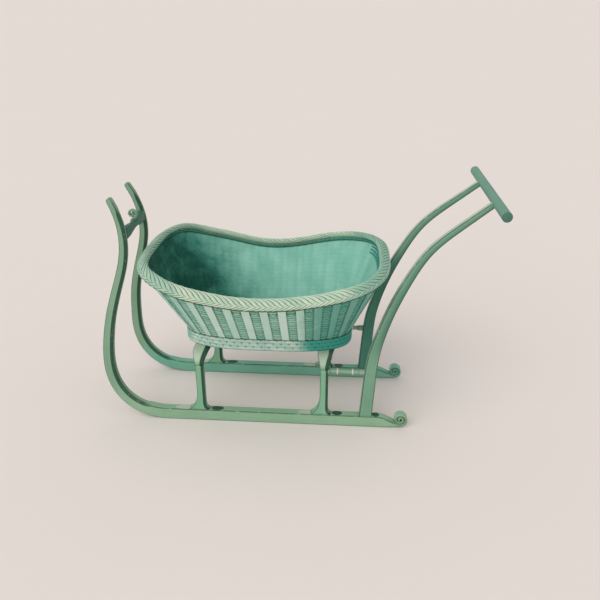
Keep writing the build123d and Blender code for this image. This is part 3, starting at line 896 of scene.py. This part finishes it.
def wovenWall():
    # one closed skin: up the outside, over the top and down the inside. Outside, each row is a
    # round rod that comes out of one slat, bulges over its column and goes in behind the next;
    # odd rows dip at the column's stake. Inside, the same rows are shallow.
    slats = oval["panels"] // 2
    column = np.linspace(0.5, 1.5, wall["columnSteps"])
    cell = np.concatenate((np.linspace(-0.4, 0.4, 3), column))
    u = ((np.arange(slats)[:, None] * 2 + cell) / oval["panels"]).reshape(-1)
    over = np.tile(np.concatenate((np.zeros(3), (column - 0.5))), slats)
    inColumn = np.tile(np.concatenate((np.zeros(3), np.ones(wall["columnSteps"]))), slats)
    columnNumber = np.repeat(np.arange(slats), len(cell))
    outerRows = np.arange(wall["rows"] * wall["rowSteps"] + 1) / wall["rowSteps"]
    innerRows = np.arange(wall["rows"] * wall["innerSteps"] + 1)[::-1] / wall["innerSteps"]
    level = np.concatenate((outerRows, innerRows))[:, None]
    inside = np.concatenate((np.zeros(len(outerRows)), np.ones(len(innerRows))))[:, None]
    row = np.floor(np.clip(level, 0, wall["rows"] - 1e-6))
    phase = level - row
    rod = halfRound(phase)
    odd = row % 2
    hill = np.sin(math.pi * over)[None]
    split = np.abs(np.sin(2 * math.pi * over))[None]
    envelope = inColumn[None] * (hill * (1 - odd) + (0.25 + 0.6 * split) * hill ** 0.4 * odd)
    wobble = scatter(row, columnNumber[None], 0) - 0.5
    outer = -wall["sunk"] + wall["bulge"] * envelope * (0.85 + 0.3 * wobble) + wall["rod"] * rod
    stake = np.cos(2 * math.pi * (u * slats))[None] ** 8 * (0.8 + 0.2 * np.cos(math.pi * row))
    inner = wall["innerSunk"] - oval["wall"] - wall["innerRod"] * rod - wall["innerStake"] * stake
    out = np.where(inside > 0.5, inner, outer)
    lift = wall["jitter"] * (scatter(row, columnNumber[None], 7) - 0.5) * np.sin(math.pi * phase)
    height = (level + lift * (1 - inside)) / wall["rows"] * (rimHeight(u)[None] - 0.002)
    # painted shade where each rod dips, a little less inside, and where the rows go in behind the slats
    crease = (1 - rod) ** 1.3 * (1 - 0.2 * inside) + 0.25 * (1 - envelope) * inColumn * (1 - inside)
    tone = scatter(row, columnNumber[None], 3) * (1 - inside) + 0.5 * inside
    stripe = np.clip(np.cos(2 * math.pi * (u * slats + 0.12)), 0, 1)[None] ** 5 * inside
    return surface("woven_wall", wallPoint(u, height, out), wrapRows=True, wrapColumns=True,
                   crease=crease, tone=tone, inside=inside, stripe=stripe)


slat = {"inset": 0.0015, "thick": 0.0032, "lift": -0.0004, "rows": 26}


def slatMeshes():
    # every second panel: a flat strip between the panel's two edge lines, a rounded rectangle in
    # section, that stands on the wall and narrows with its panel towards the foot
    slats = oval["panels"] // 2
    middle = np.arange(slats)[:, None, None] * 2 / oval["panels"]
    level = np.linspace(0, 1, slat["rows"])[None, :, None]
    height = level * (rimHeight(middle) - 0.002)
    half = 0.5 / oval["panels"]
    start = wallPoint(middle - half, height)
    normal = wallFrame(middle)[2]
    across = wallPoint(middle + half, height) - start
    width = np.linalg.norm(across, axis=-1, keepdims=True)
    across = across / width
    sag = ((wallPoint(middle, height) - start) * normal).sum(-1, keepdims=True)
    halfWidth = (width[..., 0] / 2 - slat["inset"]).reshape(-1)
    a, b, edge, _ = barSection(halfWidth, np.full_like(halfWidth, slat["thick"] / 2), 0.0014)
    columns = a.shape[1]
    a, b = a.reshape(slats, slat["rows"], columns, 1), b.reshape(slats, slat["rows"], columns, 1)
    ripple = 0.0003 * np.sin(level * 31 + middle * 700)[..., None]
    out = sag + slat["lift"] + slat["thick"] / 2 + b + ripple
    points = start + across * (width / 2 + a) + normal * out
    along = height[..., None] + middle[..., None] * 17 + 0 * a
    grain = np.concatenate((along, a, b + middle[..., None] * 5), -1)
    tone = scatter(np.arange(slats), 5)[:, None, None]
    return surface("basket_slats", points, wrapColumns=True, caps=True, grain=grain, edge=edge, tone=tone)


plait = {
    "strands": 122, "strandSteps": 15, "around": 44, "halfThick": 0.0122,
    "halfWidth": 0.0190, "wider": 0.0038,  # at the ends, and how much more along the sides
    "inwards": 0.0085,  # its middle lies this far in from the wall's outside
    "lean": 0.112, "length": 2.60,  # how far a strand slants on its way across, of the whole border
    "spine": 68.0, "relief": 0.0042,
    "shadowLine": (-8.0, 18.0),  # heading and width of the painted shadow line along its lower outer edge
}


def plaitedBorder():
    # a rounded flat bar laid across the wall's edge. Its strands run slantwise away from a spine
    # line along its top, outwards and inwards, like a long row of arrow heads; the grid lines
    # follow the strands
    count = plait["strands"] * plait["strandSteps"]
    strandPlace = np.arange(count)[:, None] / plait["strandSteps"]
    turn = roundTurn(plait["around"])[None]
    away = np.abs((turn + math.pi) % (2 * math.pi) - math.pi) / math.pi
    below = np.where(turn > math.pi, 1.0, 0.0)
    u = strandPlace / plait["strands"] - plait["lean"] / plait["length"] * away
    phase = (strandPlace + 0.5 * below) % 1
    number = np.floor(strandPlace + 0.5 * below) % plait["strands"]
    roundness = halfRound(phase) ** 0.9
    atSpine = 1 - smoothStep(0.0, 0.07, away)
    calm = np.clip(atSpine + smoothStep(0.92, 1.0, away), 0, 1)
    relief = roundness * (1 - calm) + 0.42 * calm - 0.30 * atSpine * (1 - roundness)
    angle = turn + math.radians(plait["spine"])
    c, s = np.cos(angle), np.sin(angle)
    boxA, boxB = np.sign(c) * np.abs(c) ** 0.75, np.sign(s) * np.abs(s) ** 0.75
    foot, rise, normal = wallFrame(u)
    centre = foot + rise * (rimHeight(u) / oval["high"][0])[..., None] - normal * plait["inwards"]
    upward = rise / np.linalg.norm(rise, axis=-1, keepdims=True)
    wobble = (scatter(number, 11) - 0.5) * 0.0010
    halfWidth = plait["halfWidth"] + plait["wider"] * np.sin(headingAt(u)) ** 2
    out = boxA * (halfWidth + (relief - 0.75) * plait["relief"] + wobble)
    lift = boxB * (plait["halfThick"] + (relief - 0.75) * plait["relief"] + wobble)
    points = centre + normal * out[..., None] + upward * lift[..., None]
    crease = np.clip(1 - roundness, 0, 1) ** 1.3 * (1 - atSpine) + atSpine * (0.15 + 0.4 * (1 - roundness))
    # a painted shadow line along the border's lower outer edge
    shadowLine, shadowLineWidth = plait["shadowLine"]
    fromShadowLine = (np.degrees(angle) - shadowLine + 180) % 360 - 180
    crease = np.maximum(crease, np.exp(-(fromShadowLine / shadowLineWidth) ** 2))
    tone = scatter(number, 2, below)
    return surface("plaited_border", points, wrapRows=True, wrapColumns=True, crease=crease, tone=tone)


foot = {
    "ropes": 3, "ropeSteps": 7, "strokes": 76, "strokeSteps": 8, "out": 0.0062, "in": -0.015,
    "tall": 0.046, "relief": 0.0034,
}


def waledFoot():
    # a closed band: its outside is three rows of waling, each a rope of slanting strokes, every
    # other row set half a stroke on; its top, inside and underside are plain
    outerRows = np.linspace(0, foot["ropes"], foot["ropes"] * foot["ropeSteps"] + 1)
    corner = np.array([0.12, 0.5, 0.88])
    level = np.concatenate((outerRows / foot["ropes"], np.ones(3), 1 - corner, np.zeros(3)))[:, None]
    depth = np.concatenate((np.zeros(len(outerRows)), corner, np.ones(3), 1 - corner))[:, None]
    onFace = np.concatenate((np.ones(len(outerRows)), np.zeros(9)))[:, None]
    rope = np.floor(np.clip(level * foot["ropes"], 0, foot["ropes"] - 1e-6))
    phaseUp = level * foot["ropes"] - rope
    along = np.arange(foot["strokes"] * foot["strokeSteps"])[None] / foot["strokeSteps"]
    stroke = (along + 0.7 * phaseUp + 0.5 * rope)
    phaseAlong = stroke % 1
    ropeRound = halfRound(phaseUp)
    strokeRound = halfRound(phaseAlong) ** 0.8
    relief = ropeRound * (0.55 + 0.45 * strokeRound)
    out = foot["out"] - foot["relief"] * (1 - relief) * onFace + (foot["in"] - foot["out"]) * depth
    heading = headingAt(along / foot["strokes"])
    x, y = ovalPoint(oval["low"], heading)
    z = oval["base"] - foot["tall"] * (1 - level) + 0 * x
    points = np.stack((x + out * np.cos(heading), y + out * np.sin(heading), z), -1)
    # painted shade in the creases between strokes and rows, along the top and bottom of the outside, and a
    # little on the plain faces
    crease = onFace * (0.45 * (1 - ropeRound) + 0.75 * (1 - strokeRound) ** 1.5) + (1 - onFace) * 0.3
    crease = crease + 0.5 * onFace * (smoothStep(0.90, 1.0, level) + smoothStep(0.08, 0.0, level))
    tone = scatter(np.floor(stroke) % foot["strokes"], rope, 9)
    return surface("waled_foot", points, wrapRows=True, wrapColumns=True, crease=crease, tone=tone)


base = {
    "thick": 0.012, "inset": 0.0155, "rings": 46, "round": 288,
    "cane": 0.011, "rib": 0.034, "relief": 0.0016,
}


def wovenFloor():
    # a plate of canes laid across the sled over and under lengthwise ribs: the top is a sine over
    # and under that changes side from cane to cane; the skin runs out to the edge on top and in
    # again underneath
    share = np.linspace(0.02, 1, base["rings"])
    share = np.concatenate((share, share[::-1]))[:, None]
    under = np.repeat([0.0, 1.0], base["rings"])[:, None]
    u = np.linspace(0, 1, base["round"], endpoint=False)[None]
    heading = headingAt(u)
    x, y = ovalPoint(oval["low"], heading)
    x, y = x - base["inset"] * np.cos(heading), y - base["inset"] * np.sin(heading)
    middle = at((oval["low"][1] + oval["low"][2]) / 2)
    x, y = middle + (x - middle) * share, y * share
    cane = x / base["cane"]
    side = np.cos(math.pi * np.floor(cane))
    cane = np.abs(np.sin(math.pi * cane)) ** 0.7
    weave = base["relief"] * cane * (0.4 + 0.6 * side * np.sin(math.pi * y / base["rib"]))
    bottom = oval["base"] - foot["tall"]
    z = np.where(under > 0.5, bottom + 0.0006, bottom + base["thick"] - 0.001 + weave)
    # painted shade between the canes, and a little on the underside
    crease = (1 - cane) * (1 - under) + 0.3 * under
    tone = scatter(np.floor(x / base["cane"]), 4)
    return surface("woven_floor", np.stack((x, y, z), -1), wrapColumns=True, caps=True,
                   crease=crease, tone=tone)


wale = {
    "rods": 4, "first": 0.015, "gap": 0.0105, "radius": 0.0036, "round": 360, "columns": 8,
    "proud": (0.27, 0.36),  # places along the sled between which the lower rods rise out of the wall
}


def innerWale():
    # round rods laid along the wall inside, under the border, one below the other; all but the
    # first rise out of the wall only round the back of the basket
    u = np.linspace(0, 1, wale["round"], endpoint=False)[None, :, None]
    turn = roundTurn(wale["columns"])[None, None, :]
    number = np.arange(wale["rods"])[:, None, None]
    drop = wale["first"] + number * wale["gap"]
    rim = rimHeight(u)
    height = rim - drop + wale["radius"] * np.sin(turn)
    proud = np.where(number == 0, 1.0, smoothStep(*wale["proud"], wallPoint(u, rim)[..., 0]))
    out = -oval["wall"] + wale["radius"] * (2.2 - 2.7 * proud) - wale["radius"] * np.cos(turn)
    # painted shade on each rod's underside
    crease = 0.25 * (1 - np.sin(turn))
    tone = 0.5 + 0.5 * np.sin(u * 900 + number * 2)
    return surface("inner_wale", wallPoint(u, height, out), wrapRows=True, wrapColumns=True,
                   crease=crease, tone=tone)


wickerTones = {
    "columns": (paint(168, 210, 190), paint(110, 172, 150)),
    # the inside's last two tones are painted shade towards the front
    "inside": (paint(150, 202, 184), paint(104, 168, 150), paint(30, 112, 96), paint(8, 72, 58)),
    "slats": (paint(212, 234, 222), paint(172, 214, 196)),
    "wale": (paint(72, 144, 122), paint(44, 114, 94)),
    "border": (paint(198, 213, 190), paint(158, 186, 162)),
    "foot": (paint(190, 210, 198), paint(148, 184, 168)),
    "floor": (paint(120, 172, 150), paint(84, 138, 118)),
}
wickerWall = paintedWicker("wickerWall", *wickerTones["columns"], inner=wickerTones["inside"], creaseShadeShare=0.6)
slatPaint = paintedSlat("slatPaint", *wickerTones["slats"])
# the inner wale painted dark green as a shadow line under the border
waleShadedPaint = paintedWicker("waleShadedPaint", *wickerTones["wale"])
# the border and the foot take the painted shade wash towards the back
borderPaint = paintedWicker("borderPaint", *wickerTones["border"], wash=0.45, shadeWashAt=0.17)
footPaint = paintedWicker("footPaint", *wickerTones["foot"], wash=1.0, shadeWashAt=0.0, creaseShadeRange=(0.22, 0.75))
floorPaint = paintedWicker("floorPaint", *wickerTones["floor"])

addPiece(wovenWall(), wickerWall, "wicker_wall", "basket_wall")
addPiece(slatMeshes(), slatPaint, "wicker_slat", "basket_stakes")
print("wall and slats made")
addPiece(plaitedBorder(), borderPaint, "wicker_border", "basket_border")
addPiece(waledFoot(), footPaint, "wicker_border", "basket_foot")
addPiece(wovenFloor(), floorPaint, "wicker_wall", "basket_floor")
addPiece(innerWale(), waleShadedPaint, "wicker_wall")
print("border, foot and floor made")

stage = {"radius": 300.0, "colour": paint(229, 219, 214), "clouds": paint(225, 214, 206)}
sun = {"direction": (-0.50, -0.75, 0.75), "strength": 1.5, "spread": 60.0}
sky = {"strength": 0.70}
camera = {
    "azimuth": 4.06, "elevation": 25.39, "distance": 2.4812, "aim": (0.0247, 0.0, 0.4351),
    "lens": 39.0, "sensor": 36.0, "clipEnd": 1000.0,
}


def paleFloor():
    # a dull pale surface with faint clouds and flecks
    made = Finish("paleFloor")
    cloud = made.noise(made.place(), 1.3, 3.0)
    fleck = made.noise(made.place(), 90.0, 3.0)
    colour = made.mix(cloud * 0.5 + fleck * 0.15, stage["colour"], stage["clouds"])
    return made.principled(colour, 0.9, made.bump(fleck, 0.05, 0.001), Specular_IOR_Level=0.1)


# the floor: a flat disc, a hair below the runners
turn = roundTurn(96)
disc = np.stack((stage["radius"] * np.cos(turn), stage["radius"] * np.sin(turn), 0 * turn - 0.0005), -1)
floorMesh = bpy.data.meshes.new("floor")
floorMesh.from_pydata(disc.tolist(), [], [list(range(96))])
floorPiece = bpy.data.objects.new("floor", floorMesh)
bpy.context.scene.collection.objects.link(floorPiece)
floorMesh.materials.append(paleFloor())

lamp = bpy.data.objects.new("key", bpy.data.lights.new("key", "SUN"))
lamp.data.energy = sun["strength"]
lamp.data.angle = math.radians(sun["spread"])
bpy.context.scene.collection.objects.link(lamp)
direction = np.array(sun["direction"]) / np.linalg.norm(sun["direction"])
lamp.rotation_euler = (math.acos(direction[2]), 0, math.atan2(direction[1], direction[0]) + math.pi / 2)

# the world lights the sled with plain white, and shows the floor's colour to the camera and in gloss
studio = Finish("studio", "worlds")
bpy.context.scene.world = studio.owner
lit = studio.node("ShaderNodeBackground", {}, {"Color": (1, 1, 1, 1), "Strength": sky["strength"]})
seen = studio.node("ShaderNodeBackground", {}, {"Color": stage["colour"], "Strength": 1.0})
cameraRay, glossyRay, transmissionRay = (studio.node("ShaderNodeLightPath", {}, {}, f"Is {kind} Ray")
                                         for kind in ("Camera", "Glossy", "Transmission"))
straight = cameraRay.math("MAXIMUM", glossyRay).math("MAXIMUM", transmissionRay)
both = studio.node("ShaderNodeMixShader", {}, {0: straight, 1: lit, 2: seen})
studio.node("ShaderNodeOutputWorld", {}, {"Surface": both})

eye = bpy.data.objects.new("camera", bpy.data.cameras.new("camera"))
eye.data.lens, eye.data.sensor_width = camera["lens"], camera["sensor"]
eye.data.clip_end = camera["clipEnd"]
azimuth, elevation = math.radians(camera["azimuth"]), math.radians(camera["elevation"])
level = math.cos(elevation)
away = np.array((math.sin(azimuth) * level, -math.cos(azimuth) * level, math.sin(elevation)))
eye.location = np.array(camera["aim"]) + camera["distance"] * away
eye.rotation_euler = (math.pi / 2 - elevation, 0, azimuth)
bpy.context.scene.collection.objects.link(eye)
bpy.context.scene.camera = eye
bpy.context.scene.view_settings.view_transform = "Standard"
print("stage set")
